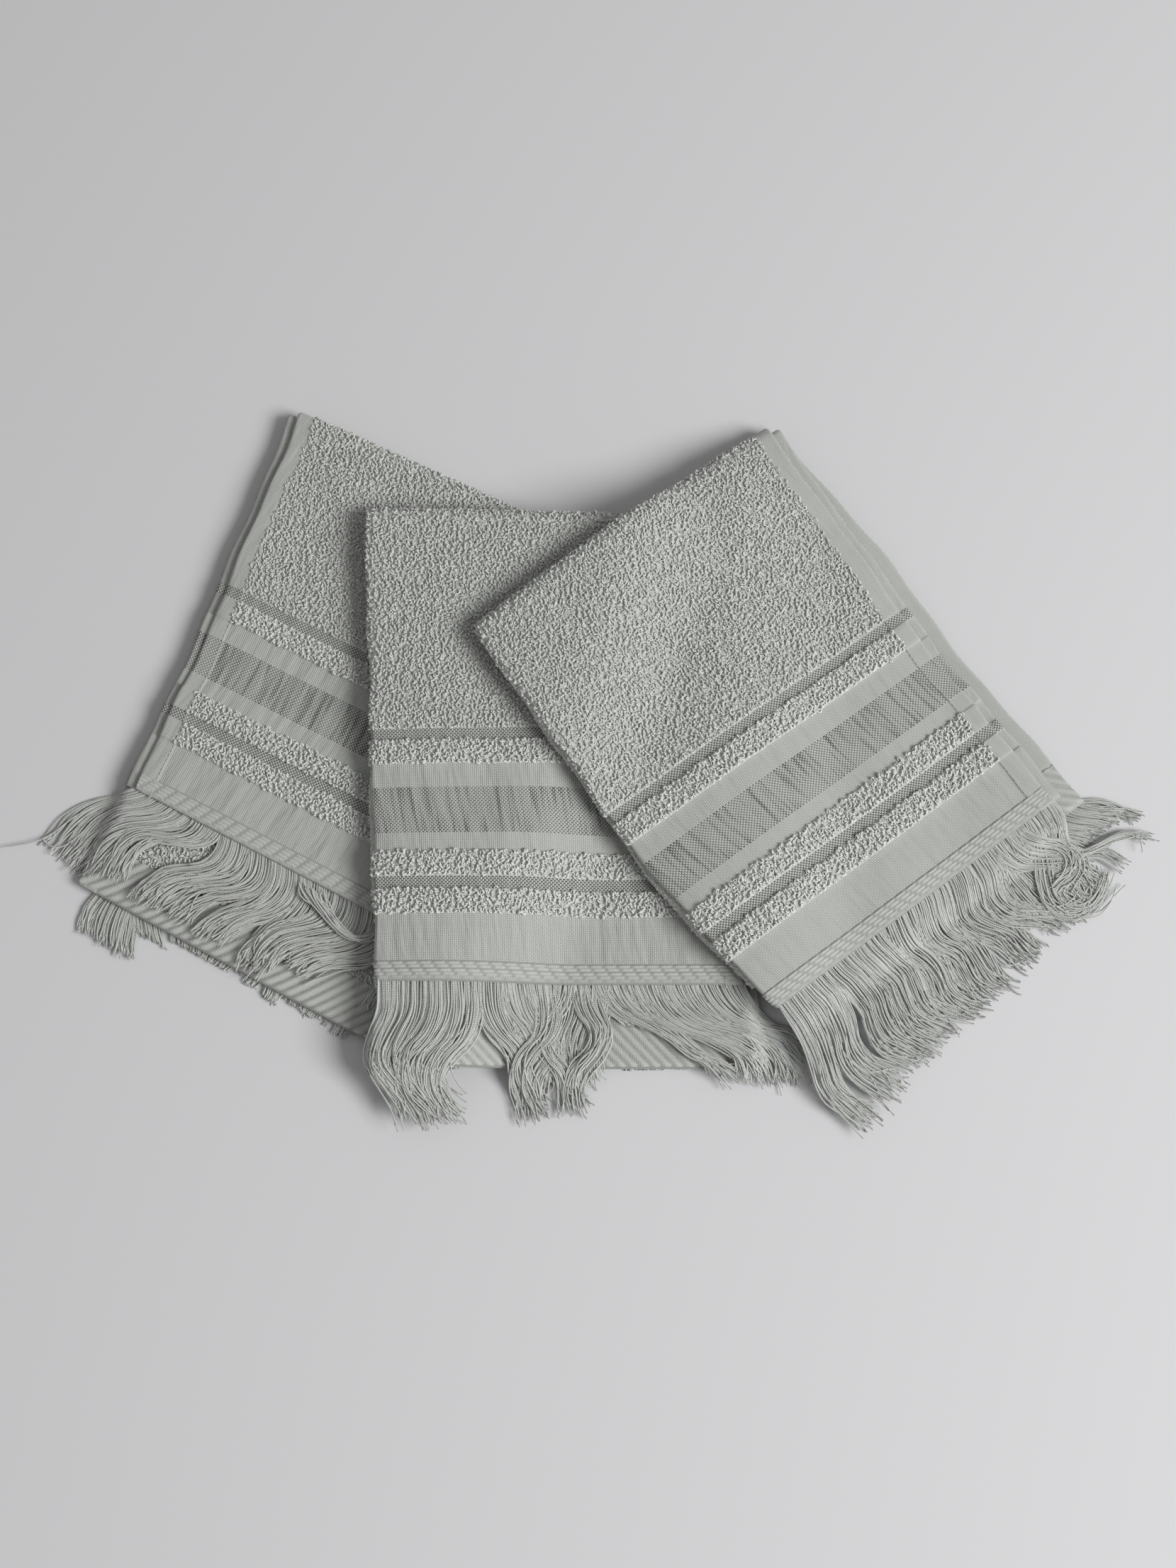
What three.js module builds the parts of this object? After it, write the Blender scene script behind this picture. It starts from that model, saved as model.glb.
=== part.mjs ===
// Three fringed terry hand towels, each folded in half lengthwise and again crosswise,
// fanned on a table so that each one lies partly on the ones below.
// Millimetres, +Z up, +X along the set's length. The origin is the bottom centre of the set.
//
// Each towel has its own frame: s runs across the folded towel from its left edge, t runs down
// its length from the crosswise fold, and z is the height above whatever the towel lies on.
import * as THREE from 'three';

// ---- one towel ----
const FOLDED_WIDTH = 205;
const SIDE_HEM_WIDTH = 12;
const STACK_HEIGHT = 16;
const PAIR_THICKNESS = 7.6;
const FOLD_RADIUS = STACK_HEIGHT / 2;
const GAP = 0.3;

// The upper half from the crosswise fold to the fringe. Pile stands full height and the flat
// weaves between it are recessed.
const PILE_TOP = STACK_HEIGHT;
const FLAT_TOP = STACK_HEIGHT - 2.2;
const FIELD_LENGTH = 134;
const BANDS = [
  { name: 'inner_stripe', length: 6.6, top: FLAT_TOP, finish: 'dark_weave' },
  { name: 'first_pile_rib', length: 14.5, top: PILE_TOP, finish: 'terry' },
  { name: 'first_plain_band', length: 13.6, top: FLAT_TOP, finish: 'plain_weave' },
  { name: 'wide_stripe', length: 26.5, top: FLAT_TOP, finish: 'slub_weave' },
  { name: 'second_plain_band', length: 10.8, top: FLAT_TOP, finish: 'plain_weave' },
  { name: 'second_pile_rib', length: 14.8, top: PILE_TOP, finish: 'terry' },
  { name: 'outer_stripe', length: 7, top: FLAT_TOP, finish: 'dark_weave' },
  { name: 'third_pile_rib', length: 14.5, top: PILE_TOP, finish: 'terry' },
  { name: 'end_band', length: 26.5, top: FLAT_TOP, finish: 'plain_weave' },
  { name: 'twined_header', length: 12, top: FLAT_TOP - 0.4, finish: 'header_weave' },
];
const UPPER_LENGTH = BANDS.reduce((sum, band) => sum + band.length, FIELD_LENGTH);

// The lower half ends in a ribbed border with its own fringe combed flat under it.
const RIBBED_BORDER_LENGTH = 28;
const TUCKED_FRINGE_HEIGHT = 1.7;
const TUCKED_FRINGE_BACK = 24;
const TUCKED_FRINGE_FRONT = 4;
const BORDER_LOW = 2.8;

const FRINGE_ROOT_THICKNESS = 4.2;
const FRINGE_TIP_THICKNESS = 1.8;
const FRINGE_OVERHANG = 10;
const FRINGE_DROP = 24;
const FRINGE_CLEARANCE = 1.2;
const LOCK_COUNT = 4;
const LOCK_DEPTH = 5;

// Side hems: the outer cloth layer's hem wraps outside the inner layer's.
const OUTER_HEM = { outer: 7.3, inner: 5.2, reach: 0 };
const INNER_HEM = { outer: 4.6, inner: 1, reach: 6 };

// ---- how the set is laid out, from the bottom towel up ----
// corner is where the crosswise fold meets the left edge. across and down are the directions
// of the fold and of the long sides: a soft towel lies slightly out of square.
// drawn is how far its length is drawn up, and lowerReach is how far the lower half shows
// past the upper one. fringe is the loose yarns' length, and sweep is their lean towards the
// right, from the left edge to the right one. grid is the longest step of a towel's solids:
// fine where it drapes over others.
const TOWELS = [
  {
    name: 'left',
    corner: [-171, 228],
    across: -26.5,
    down: -21,
    drawn: 0.905,
    lowerReach: 64,
    hemOnLeft: true,
    fringe: 60,
    sweep: [-30, -30],
    grid: 400,
  },
  {
    name: 'middle',
    corner: [-129, 160],
    across: 0.4,
    down: 2.4,
    drawn: 1,
    lowerReach: 46,
    hemOnLeft: false,
    fringe: 82,
    sweep: [20, 52],
    grid: 16,
  },
  {
    name: 'right',
    corner: [-66, 82],
    across: 37,
    down: 39.5,
    drawn: 0.985,
    lowerReach: 10,
    hemOnLeft: false,
    fringe: 72,
    sweep: [0, 14],
    grid: 16,
  },
];

// How an upper towel comes down from the ones below: over this distance past their outline.
const DRAPE_RUN = 70;
const LAYER_CLEARANCE = 1.2;
const FRINGE_COVER = 6;

const FINISHES = {
  terry: { color: 0xa9ada6, roughness: 1 },
  plain_weave: { color: 0xb0b3ad, roughness: 0.95 },
  dark_weave: { color: 0x7a8077, roughness: 0.95 },
  slub_weave: { color: 0x8d938a, roughness: 0.95 },
  header_weave: { color: 0xabaea7, roughness: 0.95 },
  hem_weave: { color: 0xadb0aa, roughness: 0.95 },
  fringe_yarn: { color: 0xa5a89f, roughness: 0.95 },
};

const degrees = THREE.MathUtils.degToRad;
const smooth = (x) => THREE.MathUtils.smoothstep(x, 0, 1);
const mix = THREE.MathUtils.lerp;

/** Where the upper half's fringe starts, and where the lower half ends. */
const upperEnd = (towel) => UPPER_LENGTH * towel.drawn;
const lowerEnd = (towel) => upperEnd(towel) + towel.lowerReach;

/** Where a towel's (s, t) lies in its own group, whose X axis runs along the crosswise fold. */
function localPoint(towel, s, t) {
  const lean = degrees(towel.down - towel.across);
  return [s + t * Math.sin(lean), -t * Math.cos(lean)];
}

/** Where a towel's (s, t) lies on the table. */
function tablePoint(towel, s, t) {
  const [x, y] = localPoint(towel, s, t);
  const turn = degrees(towel.across);
  return [
    towel.corner[0] + x * Math.cos(turn) - y * Math.sin(turn),
    towel.corner[1] + x * Math.sin(turn) + y * Math.cos(turn),
  ];
}

/** A table point in a towel's own (s, t): the inverse of tablePoint. */
function towelPoint(towel, x, y) {
  const turn = degrees(towel.across);
  const lean = degrees(towel.down - towel.across);
  const dx = x - towel.corner[0];
  const dy = y - towel.corner[1];
  const localX = dx * Math.cos(turn) + dy * Math.sin(turn);
  const localY = -dx * Math.sin(turn) + dy * Math.cos(turn);
  const t = -localY / Math.cos(lean);
  return [localX - t * Math.sin(lean), t];
}

/**
 * How far (s, t) lies outside a rectangle from the towel's fold to a length, or 0 inside.
 * left and right widen the rectangle.
 */
function distanceOutside(s, t, length, left = 0, right = 0) {
  const sideways = Math.max(-left - s, s - FOLDED_WIDTH - right, 0);
  const endways = Math.max(-t, t - length, 0);
  return Math.hypot(sideways, endways);
}

/** How high one towel holds up whatever lies on it at a table point. */
function coverHeight(towel, x, y) {
  const [s, t] = towelPoint(towel, x, y);
  const bodyLength = lowerEnd(towel);
  const onBody = smooth(1 - distanceOutside(s, t, bodyLength) / DRAPE_RUN);
  const fringeEnd = upperEnd(towel) + towel.fringe;
  const left = Math.max(0, -towel.fringe * Math.sin(degrees(towel.sweep[0])));
  const right = Math.max(0, towel.fringe * Math.sin(degrees(towel.sweep[1])));
  const onFringe = smooth(1 - distanceOutside(s, t, fringeEnd, left, right) / DRAPE_RUN);
  const body = (STACK_HEIGHT + LAYER_CLEARANCE) * onBody;
  return body + FRINGE_COVER * onFringe * (1 - onBody);
}

/** The height of the surface under a towel: every towel below it adds its own. */
function restHeight(towel, x, y) {
  const below = TOWELS.slice(0, TOWELS.indexOf(towel));
  return below.reduce((sum, lower) => sum + coverHeight(lower, x, y), 0);
}

/** Even steps from a to b, none longer than the towel's grid. */
function steps(towel, a, b) {
  const count = Math.max(1, Math.ceil(Math.abs(b - a) / towel.grid));
  return Array.from({ length: count + 1 }, (_, i) => mix(a, b, i / count));
}

/**
 * One closed solid between two surfaces given on the same grid. outer and inner turn a column
 * and a row number into [s, t, z]; each point is then laid on what is under the towel.
 */
function closedSheet(towel, columns, rows, outer, inner) {
  const positions = [];
  for (const surface of [outer, inner]) {
    for (let i = 0; i < columns; i += 1) {
      for (let j = 0; j < rows; j += 1) {
        const [s, t, z] = surface(i, j);
        const [x, y] = localPoint(towel, s, t);
        positions.push(x, y, z + restHeight(towel, ...tablePoint(towel, s, t)));
      }
    }
  }
  const at = (side, i, j) => side * columns * rows + i * rows + j;
  const triangles = [];
  const quad = (a, b, c, d) => triangles.push(a, b, c, a, c, d);
  for (let i = 0; i < columns - 1; i += 1) {
    for (let j = 0; j < rows - 1; j += 1) {
      quad(at(0, i, j), at(0, i, j + 1), at(0, i + 1, j + 1), at(0, i + 1, j));
      quad(at(1, i, j), at(1, i + 1, j), at(1, i + 1, j + 1), at(1, i, j + 1));
    }
  }
  const last = columns - 1;
  for (let j = 0; j < rows - 1; j += 1) {
    quad(at(0, 0, j), at(1, 0, j), at(1, 0, j + 1), at(0, 0, j + 1));
    quad(at(0, last, j + 1), at(1, last, j + 1), at(1, last, j), at(0, last, j));
  }
  const end = rows - 1;
  for (let i = 0; i < columns - 1; i += 1) {
    quad(at(0, i + 1, 0), at(1, i + 1, 0), at(1, i, 0), at(0, i, 0));
    quad(at(0, i, end), at(1, i, end), at(1, i + 1, end), at(0, i + 1, end));
  }
  const geometry = new THREE.BufferGeometry();
  geometry.setAttribute('position', new THREE.Float32BufferAttribute(positions, 3));
  geometry.setIndex(triangles);
  geometry.computeVertexNormals();
  return geometry;
}

function addPiece(group, towel, name, finish, geometry) {
  const { color, roughness } = FINISHES[finish];
  const material = new THREE.MeshStandardMaterial({ color, roughness, metalness: 0 });
  const mesh = new THREE.Mesh(geometry, material);
  mesh.name = `${towel.name}_${name}`;
  group.add(mesh);
}

/** Across the towel without its side hem: the woven ground that every band spans. */
function groundSpan(towel) {
  const hem = SIDE_HEM_WIDTH + GAP;
  return towel.hemOnLeft ? [hem, FOLDED_WIDTH] : [0, FOLDED_WIDTH - hem];
}

/** Across the side hem. A positive reach lets it stick out past the towel's edge. */
function hemSpan(towel, reach) {
  if (towel.hemOnLeft) return [-reach, SIDE_HEM_WIDTH];
  return [FOLDED_WIDTH - SIDE_HEM_WIDTH, FOLDED_WIDTH + reach];
}

/**
 * A line [t, z] that runs back along the lower half, round the crosswise fold and out along
 * the upper half, at a distance from the fold's centre line.
 */
function foldedLine(towel, radius, lowerT, upperT) {
  const arcSteps = 6;
  const line = steps(towel, lowerT, FOLD_RADIUS).map((t) => [t, FOLD_RADIUS - radius]);
  for (let k = 1; k < arcSteps; k += 1) {
    const angle = -Math.PI / 2 - (Math.PI * k) / arcSteps;
    const t = FOLD_RADIUS + radius * Math.cos(angle);
    line.push([t, FOLD_RADIUS + radius * Math.sin(angle)]);
  }
  steps(towel, FOLD_RADIUS, upperT).forEach((t) => line.push([t, FOLD_RADIUS + radius]));
  return line;
}

/** A cloth strip folded crosswise, from the lower half's end round to the upper half's. */
function foldedStrip(towel, across, radii, lowerT, upperT) {
  const columns = steps(towel, ...across);
  const outer = foldedLine(towel, radii.outer, lowerT, upperT);
  const inner = foldedLine(towel, radii.inner, lowerT, upperT);
  const point = (line) => (i, j) => [columns[i], ...line[j]];
  return closedSheet(towel, columns.length, outer.length, point(outer), point(inner));
}

/** A flat strip of the upper or lower half between two heights. */
function flatStrip(towel, across, fromT, toT, low, high) {
  const columns = steps(towel, ...across);
  const rows = steps(towel, fromT, toT);
  const point = (z) => (i, j) => [columns[i], rows[j], z];
  return closedSheet(towel, columns.length, rows.length, point(high), point(low));
}

function addTerryField(group, towel) {
  const radii = { outer: FOLD_RADIUS, inner: FOLD_RADIUS - PAIR_THICKNESS };
  const lowerT = lowerEnd(towel) - RIBBED_BORDER_LENGTH - GAP;
  const upperT = FIELD_LENGTH * towel.drawn;
  const strip = foldedStrip(towel, groundSpan(towel), radii, lowerT, upperT);
  addPiece(group, towel, 'terry_field', 'terry', strip);
}

function addBands(group, towel) {
  const bottom = STACK_HEIGHT - PAIR_THICKNESS;
  let t = FIELD_LENGTH * towel.drawn;
  for (const band of BANDS) {
    const end = t + band.length * towel.drawn;
    const strip = flatStrip(towel, groundSpan(towel), t + GAP, end, bottom, band.top);
    addPiece(group, towel, band.name, band.finish, strip);
    t = end;
  }
}

function addHems(group, towel) {
  const upperT = upperEnd(towel);
  const lowerT = lowerEnd(towel) - RIBBED_BORDER_LENGTH - GAP;
  const hems = { outer_side_hem: OUTER_HEM, inner_side_hem: INNER_HEM };
  for (const [name, hem] of Object.entries(hems)) {
    const strip = foldedStrip(towel, hemSpan(towel, hem.reach), hem, lowerT, upperT);
    addPiece(group, towel, name, 'hem_weave', strip);
  }
}

function addLowerEnd(group, towel) {
  const end = lowerEnd(towel);
  const span = [0, FOLDED_WIDTH];
  const border = flatStrip(
    towel,
    span,
    end - RIBBED_BORDER_LENGTH,
    end,
    BORDER_LOW,
    PAIR_THICKNESS,
  );
  addPiece(group, towel, 'ribbed_border', 'header_weave', border);
  const tucked = flatStrip(
    towel,
    span,
    end - TUCKED_FRINGE_BACK,
    end + TUCKED_FRINGE_FRONT,
    0,
    TUCKED_FRINGE_HEIGHT,
  );
  addPiece(group, towel, 'tucked_fringe', 'fringe_yarn', tucked);
}

/** The loose fringe: it lies on the lower half, then drops off its end onto the table. */
function addFringe(group, towel) {
  const columns = 13;
  const rows = 7;
  const root = upperEnd(towel) + GAP;
  const bottom = STACK_HEIGHT - PAIR_THICKNESS + FRINGE_CLEARANCE;
  const place = (i, j) => {
    const across = i / (columns - 1);
    const lean = degrees(mix(...towel.sweep, across));
    const lock = LOCK_DEPTH * Math.cos(2 * Math.PI * LOCK_COUNT * across);
    const along = (j / (rows - 1)) * (towel.fringe + lock);
    return [across * FOLDED_WIDTH + along * Math.sin(lean), root + along * Math.cos(lean)];
  };
  const surface = (thickness) => (i, j) => {
    const [s, t] = place(i, j);
    const outside = distanceOutside(s, t, lowerEnd(towel)) - FRINGE_OVERHANG;
    const low = mix(bottom, GAP, smooth(outside / FRINGE_DROP));
    return [s, t, low + thickness(j / (rows - 1))];
  };
  const top = (share) => mix(FRINGE_ROOT_THICKNESS, FRINGE_TIP_THICKNESS, share);
  const sheet = closedSheet(towel, columns, rows, surface(top), surface(() => 0));
  addPiece(group, towel, 'fringe', 'fringe_yarn', sheet);
}

function foldedTowel(towel) {
  const group = new THREE.Group();
  group.position.set(...towel.corner, 0);
  group.rotation.z = degrees(towel.across);
  addTerryField(group, towel);
  addBands(group, towel);
  addHems(group, towel);
  addLowerEnd(group, towel);
  addFringe(group, towel);
  return group;
}

const set = new THREE.Group();
TOWELS.forEach((towel) => set.add(foldedTowel(towel)));
set.updateMatrixWorld(true);
const box = new THREE.Box3().setFromObject(set);
const middle = box.getCenter(new THREE.Vector3());
set.position.set(-middle.x, -middle.y, -box.min.z);

export default set;
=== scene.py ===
"""Three fringed terry hand towels, folded and fanned on a pale table.

Each towel is one cloth, folded lengthwise and then crosswise. A point of the cloth has two
coordinates: a, the distance across it from the outer layer's side hem, and b, the distance along
it from the crosswise fold, positive on the upper half. skin() turns them into a place on the table,
so the ground weave, the loops of the pile, the hems, the stitches and the headers all follow the
same folds. Lengths are metres.
"""

import math
from types import SimpleNamespace

import bpy
import numpy as np
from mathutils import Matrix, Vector


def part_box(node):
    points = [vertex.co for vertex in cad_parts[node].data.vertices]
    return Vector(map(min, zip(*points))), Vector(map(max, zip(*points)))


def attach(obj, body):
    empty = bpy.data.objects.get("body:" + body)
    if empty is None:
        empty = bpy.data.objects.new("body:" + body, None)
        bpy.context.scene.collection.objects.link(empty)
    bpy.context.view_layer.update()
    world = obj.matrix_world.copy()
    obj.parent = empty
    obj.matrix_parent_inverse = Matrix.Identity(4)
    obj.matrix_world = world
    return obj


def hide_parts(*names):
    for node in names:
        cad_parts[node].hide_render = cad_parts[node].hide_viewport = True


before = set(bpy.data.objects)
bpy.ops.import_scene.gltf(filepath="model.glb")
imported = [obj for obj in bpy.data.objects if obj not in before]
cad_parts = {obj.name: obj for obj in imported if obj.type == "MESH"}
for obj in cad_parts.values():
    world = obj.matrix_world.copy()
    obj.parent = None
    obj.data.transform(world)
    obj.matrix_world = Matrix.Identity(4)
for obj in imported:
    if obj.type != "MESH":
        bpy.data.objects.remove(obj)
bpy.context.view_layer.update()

MM = 0.001

# ---- the towels' design, as in the CAD ----
WIDTH = 205 * MM
HEM_WIDTH = 12 * MM
NODE_GAP = 0.3 * MM
STACK = 16 * MM
FIELD = 134 * MM
BANDS = (
    ("inner_stripe", 6.6 * MM, "stripe"),
    ("first_pile_rib", 14.5 * MM, "pile"),
    ("first_plain_band", 13.6 * MM, "plain"),
    ("wide_stripe", 26.5 * MM, "slub"),
    ("second_plain_band", 10.8 * MM, "plain"),
    ("second_pile_rib", 14.8 * MM, "pile"),
    ("outer_stripe", 7.0 * MM, "stripe"),
    ("third_pile_rib", 14.5 * MM, "pile"),
    ("end_band", 26.5 * MM, "plain"),
    ("twined_header", 12.0 * MM, "header"),
)
BORDER = 28 * MM
DRAPE_RUN = 70 * MM
CLEARANCE = 1.2 * MM
FRINGE_COVER = 6 * MM

# ---- how the cloth is folded ----
PAIR_RADIUS = 4 * MM  # of the crosswise fold, at the middle of the two layers
PILE_SPACING = 2.05 * MM  # half the distance between the two layers where there is pile
FLAT_SPACING = 1.3 * MM
BAND_STEP = 1.2 * MM  # over this length the cloth goes from pile height to flat height
GROUND_FACE = 0.45 * MM  # from a layer's middle to the ground that the loops stand on
FLAT_FACE = 0.6 * MM
PILE_FACE = 1.8 * MM  # from a layer's middle to the loops' tops, where they aren't modelled
UNDERSIDE = 1.5 * MM  # from a layer's middle to its other face, where there is pile
UNDER_HEM = 0.3 * MM  # from a layer's middle to either face, within a side hem
INNER_REACH = 6 * MM  # how far the inner layer's hem sticks out past the outer one's
SEEN_UNDER = 14 * MM  # how far in under the upper half the lower half's loops go on
NOSE_BACK = 12 * MM  # how far the loops' ground goes on round the crosswise fold

SLOTS = ("terry", "plain_weave", "dark_weave", "slub_weave", "header_weave", "hem_weave")


# ---------------------------------------------------------------- arrays and meshes
def smooth(x):
    """The smoothstep curve: 0 below 0, 1 above 1, and 3x2 - 2x3 between."""
    x = np.clip(x, 0, 1)
    return x * x * (3 - 2 * x)


def unit(v):
    """Vectors scaled to length 1."""
    return v / np.maximum(np.linalg.norm(v, axis=-1, keepdims=True), 1e-12)


def seeded(name):
    """A generator seeded by the piece's name, so that each run draws the same numbers."""
    return np.random.default_rng(sum(ord(c) * (k + 1) for k, c in enumerate(name)))


def inside_out(points, groups):
    """Whether a closed mesh's faces point inwards, so that its volume, summed over them, is
    negative."""
    volume = 0
    for faces in groups:
        corners = points[faces]
        for k in range(1, faces.shape[1] - 1):
            pair = np.cross(corners[:, k], corners[:, k + 1])
            volume += (corners[:, 0] * pair).sum()
    return volume < 0


def new_object(name, data):
    """An object in the scene."""
    made = bpy.data.objects.new(name, data)
    bpy.context.scene.collection.objects.link(made)
    return made


def new_mesh(name, points, groups):
    """A smooth mesh from points (n, 3) and groups of faces, each (faces, corners)."""
    mesh = bpy.data.meshes.new(name)
    loops = np.concatenate([g.ravel() for g in groups]).astype(np.int32)
    sizes = np.concatenate([np.full(len(g), g.shape[1]) for g in groups]).astype(np.int32)
    starts = np.concatenate([[0], np.cumsum(sizes)[:-1]]).astype(np.int32)
    mesh.vertices.add(len(points))
    mesh.vertices.foreach_set("co", points.ravel())
    mesh.loops.add(len(loops))
    mesh.loops.foreach_set("vertex_index", loops)
    mesh.polygons.add(len(sizes))
    mesh.polygons.foreach_set("loop_start", starts)
    mesh.polygons.foreach_set("loop_total", sizes)
    mesh.polygons.foreach_set("use_smooth", np.ones(len(sizes), bool))
    return mesh


def put_mesh(name, points, groups, corner_uv, tone=None, material_index=None):
    """A closed mesh object in the scene, its faces turned outwards.

    corner_uv holds one (faces, corners, 2) array for each group of faces. The colour value has an
    entry for
    each point: a random lightness of each yarn or loop, raised on the ribs' loops as painted light,
    and on the header and the border painted light on crests and painted shade in grooves.
    material_index has one for each face.
    """
    points = np.asarray(points, np.float32).reshape(-1, 3)
    if inside_out(points.astype(float), groups):
        groups = [g[:, ::-1] for g in groups]
        corner_uv = [u[:, ::-1] for u in corner_uv]
    mesh = new_mesh(name, points, groups)
    if material_index is not None:
        mesh.polygons.foreach_set("material_index", material_index.astype(np.int32))
    layer = mesh.uv_layers.new(name="cloth")
    flat = np.concatenate([u.reshape(-1, 2) for u in corner_uv]).astype(np.float32)
    layer.data.foreach_set("uv", flat.ravel())
    if tone is not None:
        made = mesh.attributes.new("tone", "FLOAT", "POINT")
        made.data.foreach_set("value", np.asarray(tone, np.float32).ravel())
    mesh.update(calc_edges=True)
    mesh.validate()
    return new_object(name, mesh)


def grid_faces(rows, columns, wrap=False):
    """Quads of a grid of rows x columns points, as (quads, 4), and each corner's row and column.

    With wrap the last column joins the first one; its corners still count on, for the UVs.
    """
    across = columns if wrap else columns - 1
    i, j = np.meshgrid(np.arange(rows - 1), np.arange(across), indexing="ij")
    row = np.stack([i, i, i + 1, i + 1], -1).reshape(-1, 4)
    column = np.stack([j, j + 1, j + 1, j], -1).reshape(-1, 4)
    return row * columns + column % columns, row, column


def tubes(name, centres, radius, sides, tone=None, aside=None):
    """Many closed tubes in one mesh. centres is (tubes, steps, 3) and radius (tubes, steps).

    Each ring lies square to the path, and each end is closed by one face. aside gives each tube
    the direction that its rings start from; without it, they start from the level one. The UV is
    (turns around, metres along).
    """
    count, steps = centres.shape[:2]
    ahead = unit(np.gradient(centres, axis=1))
    if aside is None:
        side = unit(np.cross(ahead, np.array([0.013, 0.021, 1.0])))
    else:
        side = np.broadcast_to(aside[:, None], centres.shape)
        side = unit(side - ahead * (side * ahead).sum(-1, keepdims=True))
    up = np.cross(side, ahead)
    angle = 2 * math.pi * np.arange(sides) / sides
    ring = side[:, :, None] * np.cos(angle)[:, None] + up[:, :, None] * np.sin(angle)[:, None]
    points = centres[:, :, None] + ring * radius[:, :, None, None]
    quads, row, column = grid_faces(steps, sides, wrap=True)
    first = (np.arange(count) * steps * sides)[:, None, None]
    walls = (quads[None] + first).reshape(-1, 4)
    lengths = np.linalg.norm(np.diff(centres, axis=1), axis=2)
    so_far = np.concatenate([np.zeros((count, 1)), np.cumsum(lengths, axis=1)], axis=1)
    around = np.broadcast_to(column / sides, (count, *column.shape))
    wall_uv = np.stack([around, so_far[:, row]], -1).reshape(-1, 4, 2)
    order = np.arange(sides)
    caps = np.stack([order, (steps - 1) * sides + order[::-1]])
    caps = (caps[None] + first).reshape(-1, sides)
    cap_uv = np.zeros((len(caps), sides, 2))
    cap_uv[:, :, 1] = np.stack([so_far[:, 0], so_far[:, -1]], 1).reshape(-1, 1)
    tones = None if tone is None else np.repeat(tone, steps * sides)
    return put_mesh(name, points, [walls, caps], [wall_uv, cap_uv], tones)


def grid_edges(rows, columns):
    """The four edges of a grid of points, each as the row and column of both ends of its steps."""
    i, j = np.arange(rows - 1), np.arange(columns - 1)
    last_row, last_column = rows - 1, columns - 1
    return (
        (i + 1, 0 * i, i, 0 * i),
        (i, 0 * i + last_column, i + 1, 0 * i + last_column),
        (0 * j, j, 0 * j, j + 1),
        (0 * j + last_row, j + 1, 0 * j + last_row, j),
    )


def slab(name, face, back, u, v, tone=None, material_index=None):
    """A closed sheet from two grids of points (rows, columns, 3): face outside, back behind it.

    Both are joined along their four edges. The UV is (u of the column, v of the row), and
    material_index gives a face's number from its v.
    """
    rows, columns = face.shape[:2]
    quads, row, column = grid_faces(rows, columns)
    behind = quads[:, ::-1] + rows * columns
    rim_faces, rim_uv = [], []
    for row_a, column_a, row_b, column_b in grid_edges(rows, columns):
        a, b = row_a * columns + column_a, row_b * columns + column_b
        rim_faces.append(np.stack([b, a, a + rows * columns, b + rows * columns], -1))
        uv_a, uv_b = np.stack([u[column_a], v[row_a]], -1), np.stack([u[column_b], v[row_b]], -1)
        rim_uv.append(np.stack([uv_b, uv_a, uv_a, uv_b], 1))
    faces = np.concatenate([quads, behind, *rim_faces])
    quad_uv = np.stack([u[column], v[row]], -1)
    uv = np.concatenate([quad_uv, quad_uv[:, ::-1], *rim_uv])
    index = None
    if material_index is not None:
        of_quad = material_index(v[row].mean(1))
        of_rims = material_index(np.concatenate([r[:, :, 1].mean(1) for r in rim_uv]))
        index = np.concatenate([of_quad, of_quad, of_rims])
    points = np.concatenate([face.reshape(-1, 3), back.reshape(-1, 3)])
    return put_mesh(name, points, [faces], [uv], tone, index)


# ---------------------------------------------------------------- where the towels lie
def centre(node):
    """The middle of a CAD solid's box."""
    low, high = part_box(node)
    return (np.array(low) + np.array(high)) / 2


def band_middle(name):
    """How far down the towel's design the middle of a band is, from the crosswise fold."""
    start = FIELD
    for band, length, _ in BANDS:
        if band == name:
            return start + length / 2
        start += length
    raise KeyError(name)


def measured_towel(name, fringe, sweep):
    """A towel's place, read off its CAD solids.

    The middles of two bands give the way down the towel and how far its length is drawn up. The
    ribbed border's box gives the way across, because a strip's box is as wide as its length and
    its width together are along X, and likewise along Y.
    """
    first, last = centre(f"{name}_inner_stripe"), centre(f"{name}_end_band")
    span = (last - first)[:2]
    down = unit(span)
    drawn = np.linalg.norm(span) / (band_middle("end_band") - band_middle("inner_stripe"))
    low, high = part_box(f"{name}_ribbed_border")
    size = (np.array(high) - np.array(low))[:2] - BORDER * abs(down)
    across = unit(size * [1, math.copysign(1, down[0])])
    border = centre(f"{name}_ribbed_border")[:2]
    hem = centre(f"{name}_outer_side_hem")[:2]
    basis = np.linalg.inv(np.stack([across, down], 1))
    hem_on_left = (basis @ (hem - border))[0] < 0
    ground = HEM_WIDTH + NODE_GAP
    middle_s = (ground + WIDTH) / 2 if hem_on_left else (WIDTH - ground) / 2
    first_t = band_middle("inner_stripe") * drawn + NODE_GAP / 2
    corner = first[:2] - across * middle_s - down * first_t
    lower_end = (basis @ (border - corner))[1] + BORDER / 2
    edges = (FIELD + np.cumsum([0, *(length for _, length, _ in BANDS)])) * drawn
    return SimpleNamespace(
        name=name, body=f"{name}_towel", across=across, down=down, corner=corner, basis=basis,
        drawn=drawn, hem_on_left=hem_on_left, lower_end=lower_end, edges=edges,
        upper_end=edges[-1], fringe=fringe, sweep=np.radians(sweep),
    )


LEFT = measured_towel("left", 60 * MM, (-30, -30))
MIDDLE = measured_towel("middle", 82 * MM, (20, 52))
RIGHT = measured_towel("right", 72 * MM, (0, 14))
TOWELS = (LEFT, MIDDLE, RIGHT)

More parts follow.
